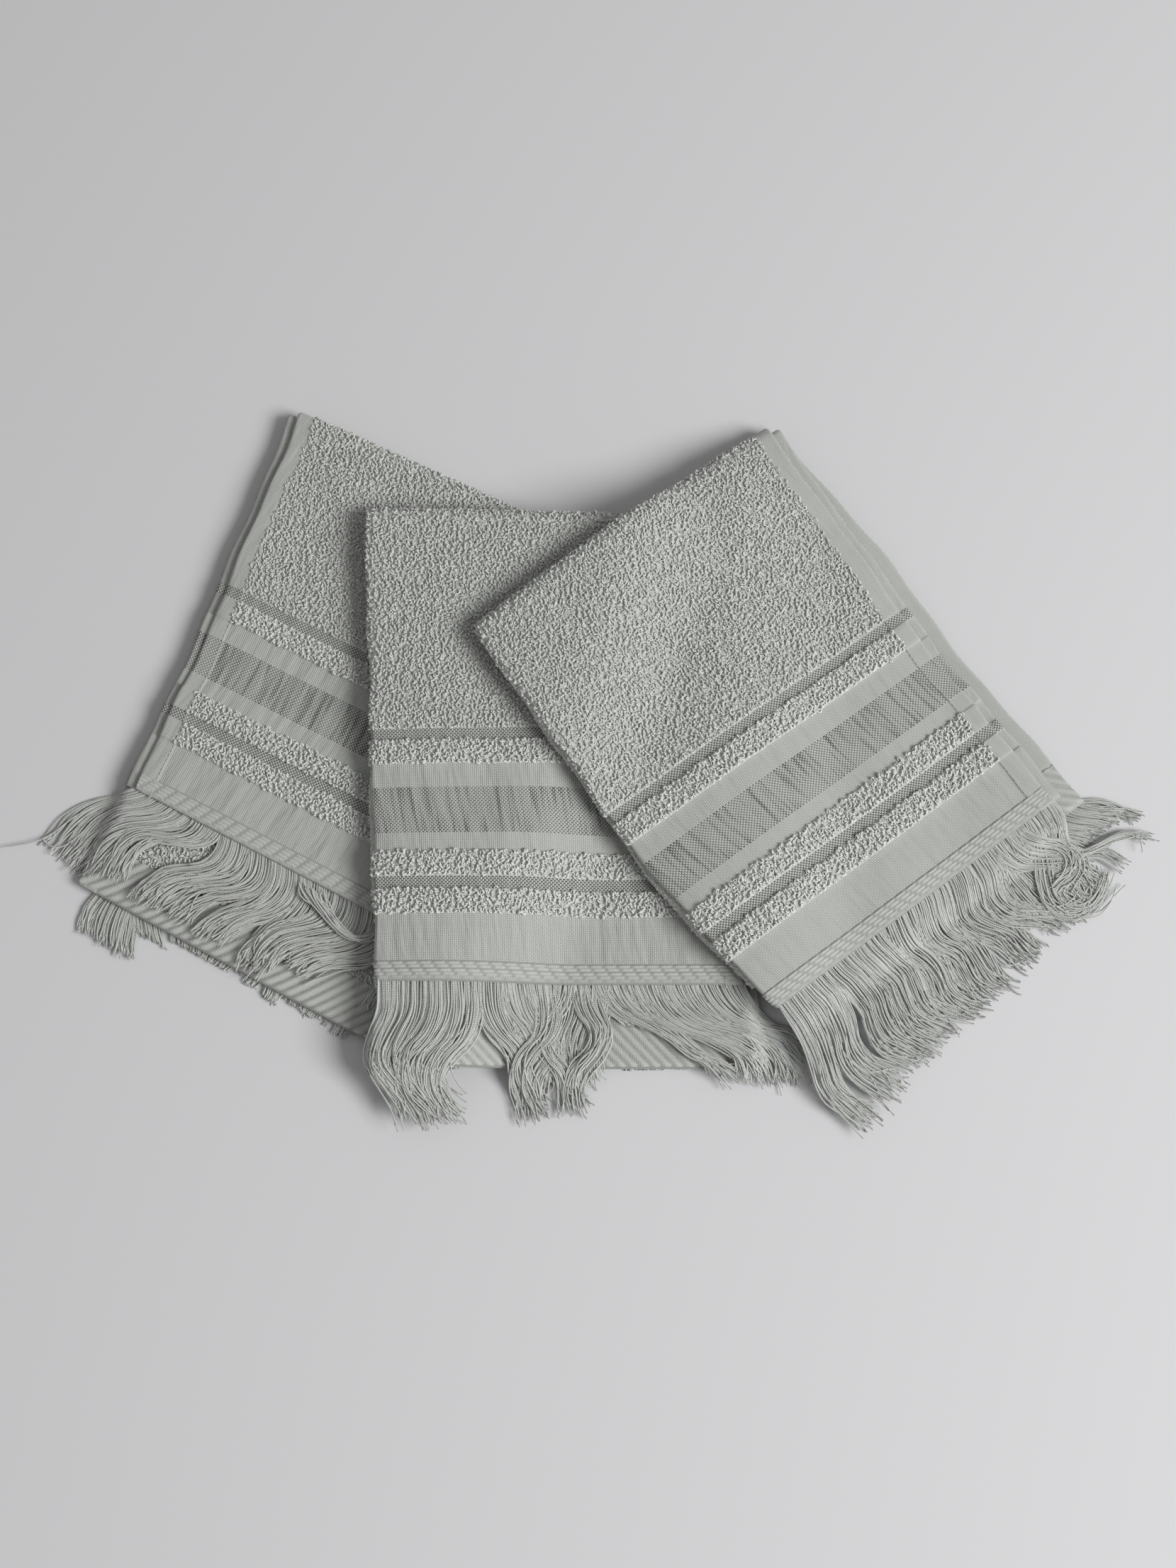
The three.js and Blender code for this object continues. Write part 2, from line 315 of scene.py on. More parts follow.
# How each towel strays from a straight-edged one, in mm, at four even steps down its left and its
# right edge: sideways, and up or down. slip is how far its lower half's hem strays outwards.
LEFT.sideways, LEFT.endways = ((0, 2, 3, 1), (0, 0, 0, 0)), ((0, -3, -3, -4), (-4, -2, -1, 0))
MIDDLE.sideways, MIDDLE.endways = ((0, 1, 0, 1), (0, 0, 0, 0)), ((0, 2, 1, -1), (5, 1, 0, 0))
RIGHT.sideways, RIGHT.endways = ((0, -6, -11, -5), (13, 1, -6, -8)), ((0, 0, 1, -1), (-5, 3, 2, 0))
LEFT.slip, MIDDLE.slip, RIGHT.slip = 2 * MM, 2 * MM, 9 * MM


def through(values, at):
    """The smooth curve through values listed at even steps from 0 to 1, read at other places.
    It holds still from a little past either end."""
    steps = np.linspace(0, 1, len(values))
    return np.polyval(np.polyfit(steps, values, len(values) - 1), np.clip(at, -0.03, 1.12))


def place(towel, s, t):
    """The x and y of a place s across and t down a towel, with its edges' strayings blended."""
    share, down = s / WIDTH, t / towel.upper_end
    left, right = (through(values, down) for values in towel.sideways)
    s = s + ((1 - share) * left + share * right) * MM
    left, right = (through(values, down) for values in towel.endways)
    t = t + ((1 - share) * left + share * right) * MM
    x = towel.corner[0] + s * towel.across[0] + t * towel.down[0]
    y = towel.corner[1] + s * towel.across[1] + t * towel.down[1]
    return x, y


def on_towel(towel, x, y):
    """The s across and t down a towel of a place on the table, as if its edges were straight."""
    dx, dy = x - towel.corner[0], y - towel.corner[1]
    s = towel.basis[0, 0] * dx + towel.basis[0, 1] * dy
    t = towel.basis[1, 0] * dx + towel.basis[1, 1] * dy
    return s, t


def outside(s, t, length, left=0.0, right=0.0):
    """How far (s, t) lies outside a rectangle from the fold to a length, or 0 inside it. left and
    right widen the rectangle on either side."""
    sideways = np.maximum(np.maximum(-left - s, s - WIDTH - right), 0)
    endways = np.maximum(np.maximum(-t, t - length), 0)
    return np.hypot(sideways, endways)


def cover_height(towel, x, y):
    """How high a towel holds up whatever lies on it: full height on its body, and from its
    outline a smoothstep down to the table, with a low shoulder where its fringe is."""
    s, t = on_towel(towel, x, y)
    left, right = (max(0, towel.fringe * math.sin(side)) for side in towel.sweep * [-1, 1])
    on_body = smooth(1 - outside(s, t, towel.lower_end) / DRAPE_RUN)
    fringe_end = towel.upper_end + towel.fringe
    on_fringe = smooth(1 - outside(s, t, fringe_end, left, right) / DRAPE_RUN)
    return (STACK + CLEARANCE) * on_body + FRINGE_COVER * on_fringe * (1 - on_body)


def rest_height(towel, x, y):
    """The height of what a towel lies on: every towel below it adds its own."""
    below = TOWELS[: TOWELS.index(towel)]
    return sum((cover_height(lower, x, y) for lower in below), np.zeros_like(x))


def lay(towel, s, t, z):
    """Points at s across, t down and z above what the towel lies on, with the small rises and
    hollows of soft cloth: two long sine waves that swell its thickness by a few hundredths."""
    x, y = place(towel, s, t)
    swell = np.sin(61 * x + 38 * y + 2) * np.sin(47 * y - 29 * x) + 0.6 * np.sin(118 * x + 1)
    return np.stack([x, y, z * (1 + 0.03 * swell) + rest_height(towel, x, y)], -1)


# ---------------------------------------------------------------- the folded cloth
ARC_START = WIDTH - PILE_SPACING
ARC_END = ARC_START + math.pi * PILE_SPACING
CLOTH_WIDTH = ARC_END + WIDTH - PILE_SPACING + INNER_REACH
HALF_FOLD = PAIR_RADIUS * math.pi / 2


def along(t):
    """The distance b along the cloth for a place t down the upper half."""
    return t - STACK / 2 + HALF_FOLD


def pile_share(towel, b):
    """1 where the cloth has pile and 0 where it is flat, with short smooth steps between."""
    flips, pile = [(-along(towel.lower_end - BORDER), 1)], 1
    for start, (_, _, kind) in zip(towel.edges, BANDS):
        now = int(kind == "pile")
        flips += [(along(start), now - pile)] * (now != pile)
        pile = now
    return sum(change * smooth((b - where) / BAND_STEP + 0.5) for where, change in flips)


def lower_shown(towel):
    """The b up to which the lower half's loops are modelled, a little way in under the upper."""
    return -along(towel.upper_end - SEEN_UNDER)


def skin(towel, a, b, h):
    """Where the cloth is: a across it, b along it and h out from the middle of its layer.

    Across, the cloth runs in from its side hem, turns half a circle at the lengthwise fold and
    runs out again, so its offset q from the pair's middle goes from +spacing to -spacing as a
    cosine. Along, the pair's middle runs back up the lower half, turns half a circle at the
    crosswise fold and runs down the upper half, and q is added to that circle's radius.
    """
    a, b, h = np.broadcast_arrays(a, b, h)
    spacing = FLAT_SPACING + (PILE_SPACING - FLAT_SPACING) * pile_share(towel, b)
    turn = np.clip((a - ARC_START) / PILE_SPACING, 0, math.pi)
    straight = np.where(a < ARC_END, np.maximum(ARC_START - a, 0), a - ARC_END)
    from_fold = PILE_SPACING + straight - (spacing + h) * np.sin(turn)
    q = (spacing + h) * np.cos(turn)
    bend = np.clip(b / PAIR_RADIUS, -math.pi / 2, math.pi / 2)
    t = STACK / 2 + abs(b - bend * PAIR_RADIUS) - (PAIR_RADIUS + q) * np.cos(bend)
    z = STACK / 2 + (PAIR_RADIUS + q) * np.sin(bend)
    z = z * (1 - 0.07 * np.exp(-from_fold / (9 * MM)))
    edge = 0.7 * MM * np.sin(t * 55 + 3 * z / STACK) + 0.5 * MM * np.sin(t * 131 + 1)
    slip = towel.slip * smooth(-b / (100 * MM)) * np.clip(from_fold / WIDTH, 0, 1) ** 2
    s = from_fold + edge + slip
    return lay(towel, WIDTH - s if towel.hem_on_left else s, t, z)


def lines(*stops, step):
    """Increasing values through the stops, with even steps no longer than step between them."""
    parts = [
        np.linspace(p, q, max(2, math.ceil((q - p) / step) + 1))[:-1]
        for p, q in zip(stops, stops[1:])
    ]
    return np.concatenate([*parts, [stops[-1]]])


def band_slot(towel, b):
    """The material slot's number at each b: its band's weave on the upper half, terry elsewhere."""
    slots = {"pile": 0, "plain": 1, "stripe": 2, "slub": 3, "header": 4}
    numbers = np.array([0, *(slots[kind] for _, _, kind in BANDS)])
    found = numbers[np.clip(np.searchsorted(along(towel.edges), b), 0, len(BANDS))]
    return np.where(b < -along(towel.lower_end - BORDER), slots["header"], found)


def hem_slot(towel, b):
    """As band_slot, but the hem is plain wherever the cloth has no stripe."""
    found = band_slot(towel, b)
    return np.where((found == 2) | (found == 3), found, 5)


def b_lines(towel, step):
    """Rows along the whole cloth, close together at the fold and at the edge of every band."""
    near = (np.arange(5) - 2) * BAND_STEP / 4
    edges = [along(t) for t in towel.edges[:-1]] + [-along(towel.lower_end - BORDER)]
    dense = np.concatenate([edge + near for edge in edges])
    fold = np.linspace(-HALF_FOLD, HALF_FOLD, 15)
    ends = (-along(towel.lower_end), -HALF_FOLD)
    rows = [lines(*ends, step=step), fold, lines(HALF_FOLD, along(towel.upper_end), step=step)]
    rows = np.unique(np.round(np.concatenate([*rows, dense]), 6))
    far = np.diff(rows, prepend=rows[0] - 1) > 0.15 * MM
    return rows[far]


def add_cloth(towel):
    """The ground weave: a closed sheet on either side of each layer's middle."""
    step = 6.5 * MM
    arc = np.linspace(ARC_START, ARC_END, 9)
    layers = lines(0, HEM_WIDTH, ARC_START, step=step), lines(ARC_END, CLOTH_WIDTH, step=step)
    a = np.unique(np.concatenate([layers[0], arc, layers[1]]))
    b = b_lines(towel, 5.5 * MM)
    u, v = np.meshgrid(a, b)
    pile = pile_share(towel, v)
    hem = (u < HEM_WIDTH) | (u > CLOTH_WIDTH - HEM_WIDTH)
    shown = smooth((lower_shown(towel) - v) / (2 * MM)) * (u > ARC_START)
    modelled = np.maximum(smooth((v + NOSE_BACK) / (4 * MM)), shown)
    top = PILE_FACE + (GROUND_FACE - PILE_FACE) * modelled
    face = np.where(hem, UNDER_HEM, FLAT_FACE + (top - FLAT_FACE) * pile)
    back = np.where(hem, UNDER_HEM, FLAT_FACE + (UNDERSIDE - FLAT_FACE) * pile)
    obj = slab(
        f"{towel.name}_cloth", skin(towel, u, v, face), skin(towel, u, v, -back), a, b,
        material_index=lambda middle: band_slot(towel, middle),
    )
    finish(obj, towel, SLOTS[:5])
    return obj


def add_hem(towel, name, first, last):
    """A side hem: a flat folded strip round the cloth's edge, its section a rounded bar."""
    a = np.linspace(first, last, 15)
    b = b_lines(towel, 4 * MM)
    u, v = np.meshgrid(a, b)
    across = np.linspace(-1, 1, len(a))
    thick = 1.05 * MM * np.sqrt(np.maximum(1 - across**8, 0)) + 0.02 * MM
    pucker = 0.1 * MM * np.sin(v / MM * 1.05 + 2 * np.sin(v * 90))
    half = thick[None] + pucker * smooth(thick / MM)[None]
    obj = slab(
        f"{towel.name}_{name}", skin(towel, u, v, half), skin(towel, u, v, -half), a, b,
        material_index=lambda middle: hem_slot(towel, middle),
    )
    finish(obj, towel, SLOTS)


def add_stitching(towel):
    """Lockstitches along the outer hem: short arcs of thread that dip into the cloth."""
    pitch, length, thread = 3 * MM, 2.3 * MM, 0.24 * MM
    line = HEM_WIDTH - 1.6 * MM
    starts = np.arange(-along(towel.lower_end - BORDER), along(towel.upper_end), pitch)
    k = np.linspace(0, 1, 6)
    b = starts[:, None] + k * length
    h = 1.0 * MM + 0.35 * MM * np.sin(math.pi * k) + 0 * b
    centres = skin(towel, line + 0 * b, b, h)
    obj = tubes(f"{towel.name}_stitching", centres, np.full(b.shape, thread), 4)
    finish(obj, towel, ("stitch_thread",))


# ---------------------------------------------------------------- the pile
LOOP_PITCH = (1.8 * MM, 2.0 * MM)  # across and along the cloth
LOOP_RADIUS = 0.62 * MM
LOOP_REACH = 0.85 * MM  # half the width of a loop
LOOP_HEIGHT = 1.65 * MM
LOOP_LEAN = 0.75  # how far a loop leans, as a share of how far it points out of the cloth
LOOP_ANGLES = (-150, -75, 0, 75, 150)  # of a loop's five points, round from its top


def loop_seeds(towel, draw, a_span, b_span):
    """Where loops stand: rows across the cloth, each shifted half a pitch, all a little astray."""
    pitch_a, pitch_b = LOOP_PITCH
    a = np.arange(a_span[0] + pitch_a / 2, a_span[1], pitch_a)
    b = np.arange(b_span[0] + pitch_b / 2, b_span[1], pitch_b * towel.drawn)
    u, v = np.meshgrid(a, b)
    u = u + (np.arange(len(b)) % 2)[:, None] * pitch_a / 2
    u = u + draw.normal(0, 0.22, u.shape) * pitch_a
    v = v + draw.normal(0, 0.18, v.shape) * pitch_b
    inside = (u > a_span[0]) & (u < a_span[1])
    return np.stack([u[inside], v[inside]], -1)


def skin_frame(towel, a, b):
    """Places on the ground of the cloth, and the directions across, along and out of it there."""
    step = 0.2 * MM
    origin = skin(towel, a, b, GROUND_FACE)
    along_a = unit(skin(towel, a + step, b, GROUND_FACE) - origin)
    along_b = unit(skin(towel, a, b + step, GROUND_FACE) - origin)
    out = unit(skin(towel, a, b, GROUND_FACE + step) - origin)
    return origin, along_a, along_b, out


def add_loops(towel, name, spans, height=LOOP_HEIGHT, lightest_with_painted_light=0.6):
    """Terry loops: each a ring of yarn, open at its foot, that is turned at random and leans over.

    Its five points lie at even angles round it: reach is the sine and rise the cosine of each.
    Neighbouring loops turn and lean alike, in patches made by two crossed waves.
    """
    draw = seeded(towel.name + name)
    seeds = np.concatenate([loop_seeds(towel, draw, *span) for span in spans])
    count = len(seeds)
    origin, along_a, along_b, out = skin_frame(towel, *seeds.T)
    at_mm = origin[:, :2] * 1000
    patch = np.sin(at_mm[:, :1] / [5.1, 7.3] + 3 * np.sin(at_mm[:, 1:] / [8.0, 6.1]))
    turn = draw.normal(math.pi / 2, 0.75, count) + 0.5 * patch[:, 0]
    forward = along_a * np.cos(turn)[:, None] + along_b * np.sin(turn)[:, None]
    aside = along_a * -np.sin(turn)[:, None] + along_b * np.cos(turn)[:, None]
    lean = draw.normal(0, 0.3, (count, 2)) + 0.25 * patch
    lean[:, 1] += LOOP_LEAN * draw.choice([-1, 1], count)
    axis = unit(out + forward * lean[:, :1] + aside * lean[:, 1:])
    angle = np.radians(LOOP_ANGLES)[:, None]
    reach, rise = LOOP_REACH * np.sin(angle), height * (0.4 + 0.6 * np.cos(angle))
    size = draw.normal(1, 0.12, count)[:, None, None]
    ring = forward[:, None] * reach + axis[:, None] * rise
    centres = origin[:, None] + ring * size
    radius = np.full((count, len(LOOP_ANGLES)), LOOP_RADIUS) * size[:, :, 0]
    lowest = rest_height(towel, centres[..., 0], centres[..., 1]) + radius
    centres[..., 2] = np.maximum(centres[..., 2], lowest)
    # The top of the range is raised on the ribs (1.0 against 0.6 on the field), so their loops are
    # painted lighter: painted light, as if they stood less in shade.
    tone = draw.uniform(lightest_with_painted_light - 0.6, lightest_with_painted_light, count)
    obj = tubes(f"{towel.name}_{name}", centres, radius, 3, tone, np.cross(forward, axis))
    finish(obj, towel, ("pile_yarn",))


def add_pile(towel):
    """Loops on every face that can be seen: the field, the ribs, the folds and the lower end."""
    margin, round_side = 0.2 * MM, 5 * MM
    outer = (HEM_WIDTH - 2.2 * MM, ARC_START)
    side = (ARC_START, ARC_END + round_side)
    inner = (ARC_END + round_side, CLOTH_WIDTH - HEM_WIDTH)
    nose = (-7 * MM, 8 * MM)
    field_end = along(towel.edges[0]) - margin
    ribs = [
        (along(start) + margin, along(end) - margin)
        for (start, end), (_, _, kind) in zip(zip(towel.edges, towel.edges[1:]), BANDS)
        if kind == "pile"
    ]
    lower_start = -along(towel.lower_end - BORDER) + margin
    shown = lower_shown(towel)
    add_loops(towel, "field_loops", [(outer, (nose[1], field_end))])
    # The ribs' loops take lighter values: painted light.
    add_loops(towel, "rib_loops", [(outer, rib) for rib in ribs], 1.15 * LOOP_HEIGHT, 1.0)
    folds = [
        ((outer[0], side[1]), nose),
        (side, (nose[1], field_end)),
        *((side, rib) for rib in ribs),
        ((side[0] - round_side, side[1]), (lower_start, nose[0])),
    ]
    add_loops(towel, "fold_loops", folds)
    if shown > lower_start + LOOP_PITCH[1]:
        add_loops(towel, "lower_loops", [(inner, (lower_start, shown))])


# ---------------------------------------------------------------- headers
BUNDLE = 7.9 * MM  # the header's cord ties the fringe's yarns in bundles of this width


def ridge(x):
    """Rounded ridges, one to each whole number of x, from 0 in the grooves to 1."""
    return np.abs(np.cos(math.pi * x)) ** 0.75


def floats(x, y, pitch, row, slant):
    """Rows of long raised floats with a narrow dip between them, each row set a little aside."""
    line = np.floor(y / row)
    dip = np.abs(np.cos(math.pi * (x + slant * (line + 0.5) * row) / pitch)) ** 10
    crown = np.abs(np.sin(math.pi * y / row)) ** 0.4
    return crown * (1 - 0.75 * dip)


def add_header(towel):
    """The twined header: rows of floats in slanting ribs, then a paired cord at the fringe."""
    pitch, slant, row, rows = BUNDLE, 0.65, 2.2 * MM, 4
    cord_at, cord_radius = 9.9 * MM, 1.15 * MM
    start, end = along(towel.edges[-2]), along(towel.upper_end)
    a = lines(0.5 * MM, ARC_END, step=0.8 * MM)
    b = lines(start, end, step=0.5 * MM)
    u, v = np.meshgrid(a, b)
    y = v - start
    body = smooth((y - 0.4 * MM) / MM) * smooth((rows * row + 0.4 * MM - y) / MM)
    rib = floats(u, y - 0.4 * MM, pitch, row, slant)
    cord_y = (y - cord_at) / cord_radius
    cord = np.sqrt(np.maximum(1 - cord_y**2, 0)) * (1 - 0.5 * ridge(u / pitch) ** 8)
    split = 1 - 0.4 * (np.abs(cord_y) < 0.2)
    lift = rib * body + 0.8 * cord * split
    face = 0.65 * MM + lift * MM
    # The colour value is the lift alone: painted light on the raised floats and the cord, painted
    # shade in the grooves between them.
    tone = np.stack([lift, lift])
    rim = smooth((y + 0.1 * MM) / MM) * smooth((end - start - y + 0.1 * MM) / MM)
    face = -0.2 * MM + (face + 0.2 * MM) * rim
    back = np.full_like(u, -0.6 * MM)
    name = f"{towel.name}_header"
    obj = slab(name, skin(towel, u, v, face), skin(towel, u, v, back), a, b, tone)
    finish(obj, towel, ("header_weave",))


def add_border(towel):
    """The ribbed border at the lower end: broad slanting ribs that roll over its edge."""
    pitch, slant = 6.6 * MM, 0.885
    start, end = -along(towel.lower_end), -along(towel.lower_end - BORDER)
    a = lines(ARC_END, CLOTH_WIDTH, step=0.9 * MM)
    b = lines(start, end, step=0.9 * MM)
    u, v = np.meshgrid(a, b)
    from_end = (v - start) / (3.5 * MM)
    rope = ridge((u + slant * v + 0.7 * MM * np.sin(u * 70)) / pitch)
    strands = 0.12 * np.sin(2 * math.pi * (u - 1.3 * v) / (1.5 * MM))
    roll = np.sqrt(np.clip(from_end, 0, 1) * (2 - np.clip(from_end, 0, 1)))
    top = 0.6 * MM + 1.5 * MM * (rope + strands)
    face = -1.6 * MM + (top + 1.6 * MM) * roll
    back = np.full_like(u, -1.7 * MM)
    # The colour value follows the ribs' ridge: painted light on their crests and painted shade in
    # the grooves.
    tone = np.stack([0.9 * rope, rope])
    name = f"{towel.name}_border"
    obj = slab(name, skin(towel, u, v, face), skin(towel, u, v, back), a, b, tone)
    finish(obj, towel, ("header_weave",))


# ---------------------------------------------------------------- fringes
YARN_RADIUS = 0.45 * MM
YARN_STEPS = 25
TUCKED_STEPS = 13
YARN_PITCH = 1.15 * MM
YARNS_DEEP = 2.7  # how many yarns lie over each other in a lock
YARN_SWING = math.radians(4)  # how far a yarn strays from its lock's heading


def lock(start, end, length, headings, gather=(1, 0.8), level=0.0, yarns=None):
    """A lock of fringe: the shares of the width that it grows from, its length in mm, its headings
    at even steps along it, in degrees from -Y towards +X, and its width at even steps as a share
    of the width at its root. level lifts it over its neighbours, in mm. yarns is how many it has;
    without it, the lock has as many as fill its width."""
    return SimpleNamespace(
        start=start, end=end, length=length * MM, headings=headings, gather=gather,
        level=level * MM, yarns=yarns,
    )


def eased(values, at):
    """Values listed at even steps from 0 to 1, read at other places."""
    return np.interp(at, np.linspace(0, 1, len(values)), values)


def wander(draw, count, at, swing):
    """A slow random wave for each yarn, growing from its root to its tip."""
    phase = draw.uniform(0, 2 * math.pi, (2, count, 1))
    rate = draw.uniform(0.7, 1.6, (2, count, 1))
    wave = np.sin(phase[0] + 6 * rate[0] * at) + 0.5 * np.sin(phase[1] + 17 * rate[1] * at)
    return swing * wave * (0.25 + at**2 + 2.5 * at**8)


def yarn_walks(draw, made, count, at):
    """The yarns' ways from their roots, as (yarns, steps, 2), and their lengths. Each yarn walks
    even steps along the lock's headings, and swings a little to either side of them."""
    swing = YARN_SWING * (0.5 + draw.exponential(0.6, (count, 1)))
    turn = np.radians(eased(made.headings, at)) + wander(draw, count, at, swing)
    length = made.length * (1 + 0.05 * draw.normal(0, 1, (count, 1)))
    step = length / (at.shape[1] - 1)
    walk = np.stack([np.sin(turn), -np.cos(turn)], -1) * step[..., None]
    return np.cumsum(walk, axis=1) - walk[:, :1], length


def lock_yarns(towel, draw, made, steps, root_t, root_z, floor_of):
    """The middle lines of a lock's yarns, as (yarns, steps, 3).

    Each yarn starts at its own place on the header, drawn in to its bundle, and walks its way,
    pulled towards the lock's middle by its gather. Its height falls from the header's to what it
    lies on, plus its place in the lock's thickness.
    """
    width = (made.end - made.start) * WIDTH
    count = made.yarns or max(2, round(YARNS_DEEP * width / YARN_PITCH))
    share = (np.arange(count) + 0.5) / count
    share = np.clip(share + draw.normal(0, 0.3, count) / count, 0, 1)[:, None]
    at = np.linspace(0, 1, steps)[None]
    walk, length = yarn_walks(draw, made, count, at)
    gather = eased(made.gather, at)
    root_s = made.start * WIDTH + share * width
    bundle = (np.floor(root_s / BUNDLE) + 0.5) * BUNDLE
    pinch = 0.1 * (bundle - root_s) * smooth(1 - at * length / (18 * MM))
    root_s = root_s + pinch + (share - 0.5) * width * (gather - 1)
    x, y = place(towel, root_s, root_t)
    x, y = x + walk[..., 0], y + walk[..., 1]
    layer = draw.uniform(0, 1, (count, 1)) + 0.1 * wander(draw, count, at, 1.0)
    thick = (1.0 * MM + 1.3 * MM / np.clip(gather, 0.35, 1)) * (1 - 0.5 * (2 * share - 1) ** 2)
    rest = floor_of(x, y) + YARN_RADIUS
    reached = smooth(at * length / (16 * MM))
    lying = rest + np.clip(layer, 0, 1.2) * thick + made.level * smooth(at * 3)
    start = rest_height(towel, x, y) + root_z + (layer - 0.5) * 2.2 * MM
    height = np.maximum(start + (lying - start) * reached, rest)
    return np.stack([x, y, height], -1)


def under_fringe(towel):
    """What the upper fringe lies on: the towel's own lower half, and past it what that lies on."""
    thickness, slope = 8.3 * MM, 13 * MM

    def height(x, y):
        """The lower half's top, and from its outline a smoothstep down."""
        s, t = on_towel(towel, x, y)
        held = smooth(1 - outside(s, t, towel.lower_end - 1 * MM) / slope)
        return rest_height(towel, x, y) + thickness * held

    return height


def under_towel(towel):
    """What the fringe at the lower end lies on."""
    return lambda x, y: rest_height(towel, x, y)


def add_yarns(towel, name, locks, steps, root_t, root_z, floor_of):
    """A fringe, lock by lock, each yarn a little thinner at its tip."""
    draw = seeded(towel.name + name)
    start = (root_t, root_z, floor_of)
    centres = np.concatenate([lock_yarns(towel, draw, made, steps, *start) for made in locks])
    count, steps = centres.shape[:2]
    at = np.linspace(0, 1, steps)[None]
    thin = 1 - 0.35 * smooth((at - 0.95) / 0.05)
    radius = YARN_RADIUS * thin * (1 + 0.1 * draw.normal(0, 1, (count, 1)))
    obj = tubes(f"{towel.name}_{name}", centres, radius, 4, draw.uniform(0, 1, count))
    finish(obj, towel, ("fringe_yarn",))


LEFT_LOCKS = (
    lock(0.00, 0.06, 64, (-68, -88, -62, -38, -36), (1, 1, 1.3, 1.5)),
    lock(0.05, 0.13, 66, (-50, -84, -80, -45, -34, -30), (1, 1, 1.2, 1.1), 1.0),
    lock(0.11, 0.20, 70, (-38, -80, -88, -62, -42, -40), (1, 1, 1, 1), 1.6),
    lock(0.19, 0.28, 70, (-10, -64, -98, -100, -58, -28, -15), (1, 0.9, 0.8, 0.7), 2.6),
    lock(0.27, 0.38, 68, (2, -28, -80, -88, -56, -36), (1, 1, 0.9, 0.8), 1.4),
    lock(0.35, 0.45, 66, (6, -16, -72, -88, -62, -40), (1, 1, 0.9, 0.9), 0.4),
    lock(0.43, 0.54, 64, (8, -14, -54, -76, -64, -36), (1, 1, 0.9, 0.9), 1.0),
    lock(0.52, 0.62, 62, (6, -16, -44, -60, -40, -26), (1, 1, 0.9, 0.8), 0.4),
    lock(0.60, 0.72, 66, (0, -26, -78, -80, -50, -20), (1, 1, 0.8, 0.7), 1.8),
    lock(0.70, 0.86, 62, (0, -20, -66, -88, -74, -56), (1, 0.9, 0.8, 0.7), 0.8),
    lock(0.77, 0.81, 64, (0, -40, -110, -140, -144, -146), (1, 0.8, 0.8, 1.4), 5.0, 18),
    lock(0.86, 1.00, 50, (-10, -30, -40, -20), (1, 0.9, 0.9)),
    lock(0.01, 0.03, 86, (-68, -84, -62, -46, -70, -98), (1, 1), 1.5, 1),
    lock(0.06, 0.08, 86, (-55, -82, -74, -40, -56, -108), (1, 1), 2.0, 1),
)
MIDDLE_LOCKS = (
    lock(0.00, 0.06, 82, (2, 0, -26, -14, 34, 40, 16), (1, 1, 1, 0.9)),
    lock(0.05, 0.13, 84, (0, 0, -28, -22, 36, 44, 24), (1, 1, 1, 0.8), 0.8),
    lock(0.12, 0.21, 82, (0, 2, -22, -46, -6, 40, 40), (1, 1, 0.9, 0.9), 1.6),
    lock(0.20, 0.28, 80, (2, 4, -14, -46, -26, 26, 46), (1, 1, 0.8, 0.8), 2.4),
    lock(0.25, 0.35, 72, (2, 4, 26, 46, 30, -6, 10), (1, 1, 0.9, 0.7)),
    lock(0.33, 0.43, 76, (4, 14, 40, 26, -44, -14, 34), (1, 1, 0.9, 0.7, 0.7), 1.2),
    lock(0.41, 0.49, 78, (8, 10, -10, -50, -20, 28, 20), (1, 1, 0.8, 0.7, 0.8), 2.4),
    lock(0.48, 0.54, 76, (-2, -24, -40, 16, 46, 4, 12), (1, 1, 0.8, 0.7, 0.8), 1.6),
    lock(0.52, 0.60, 76, (2, 14, 34, -22, -50, -10, 38), (1, 1, 0.7, 0.7, 0.7), 2.6),
    lock(0.59, 0.69, 84, (8, 36, 64, 62, 46, 66, 44), (1, 1, 0.8, 0.6, 0.6, 0.8), 1.0),
    lock(0.67, 0.78, 86, (8, 30, 58, 74, 70, 52, 10), (1, 1, 0.9, 0.7, 0.7, 0.8), 2.0),
    lock(0.76, 0.88, 84, (12, 36, 58, 76, 66, 34, 6), (1, 1, 0.9, 0.8, 0.7, 0.8), 1.0),
    lock(0.86, 1.00, 76, (16, 40, 64, 80, 56, 30), (1, 1, 0.8, 0.7, 0.8), 0.4),
    lock(0.56, 0.86, 34, (10, 40, 56, 60), (1, 1, 1), 0.2),
    lock(0.33, 0.48, 60, (4, 22, 16, -22, 4), (1, 1, 1.1, 0.9), 0.0),
    lock(0.46, 0.64, 54, (0, -6, -24, -2, 26), (1, 1, 1.1, 0.9), 0.0),
)
